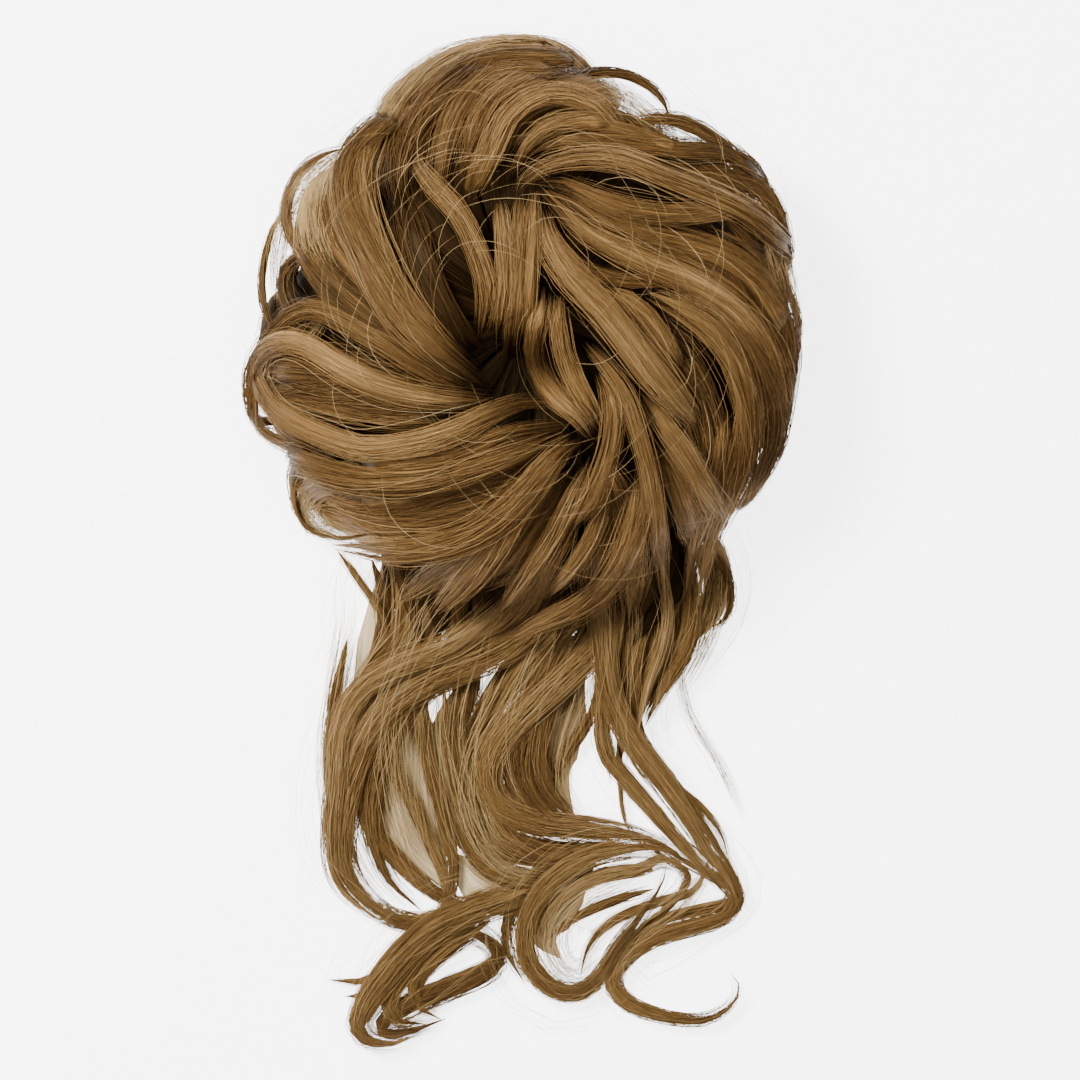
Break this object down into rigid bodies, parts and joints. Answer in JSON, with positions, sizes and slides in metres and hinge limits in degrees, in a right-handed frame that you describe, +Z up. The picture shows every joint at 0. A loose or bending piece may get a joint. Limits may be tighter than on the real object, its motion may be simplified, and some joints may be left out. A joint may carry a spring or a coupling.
{
  "type": "top knot hairpiece",
  "caption": "Messy bun hairpiece of swirled locks on an elastic ring, with loose wavy tails that spread from under the bun.",
  "frame": {"origin": "bottom centre of the whole piece's box, on the surface that it lies on", "axes": "+Z up through the bun, +Y from the tails' tips towards the bun's crown, +X to the right when the tails point towards the viewer"},
  "size_m": [0.1414, 0.264, 0.058],
  "materials": {
    "elastic": "knitted elastic, brown",
    "bun_fibre": "dark blond heat-resistant fibre, satin",
    "tail_left_fibre": "dark blond heat-resistant fibre, satin",
    "tail_centre_fibre": "dark blond heat-resistant fibre, satin",
    "tail_right_fibre": "dark blond heat-resistant fibre, satin"
  },
  "bodies": {
    "root": {"elastic_band": "elastic", "hair_bun": "bun_fibre", "tail_left": "tail_left_fibre", "tail_centre": "tail_centre_fibre", "tail_right": "tail_right_fibre"}
  },
  "joints": []
}
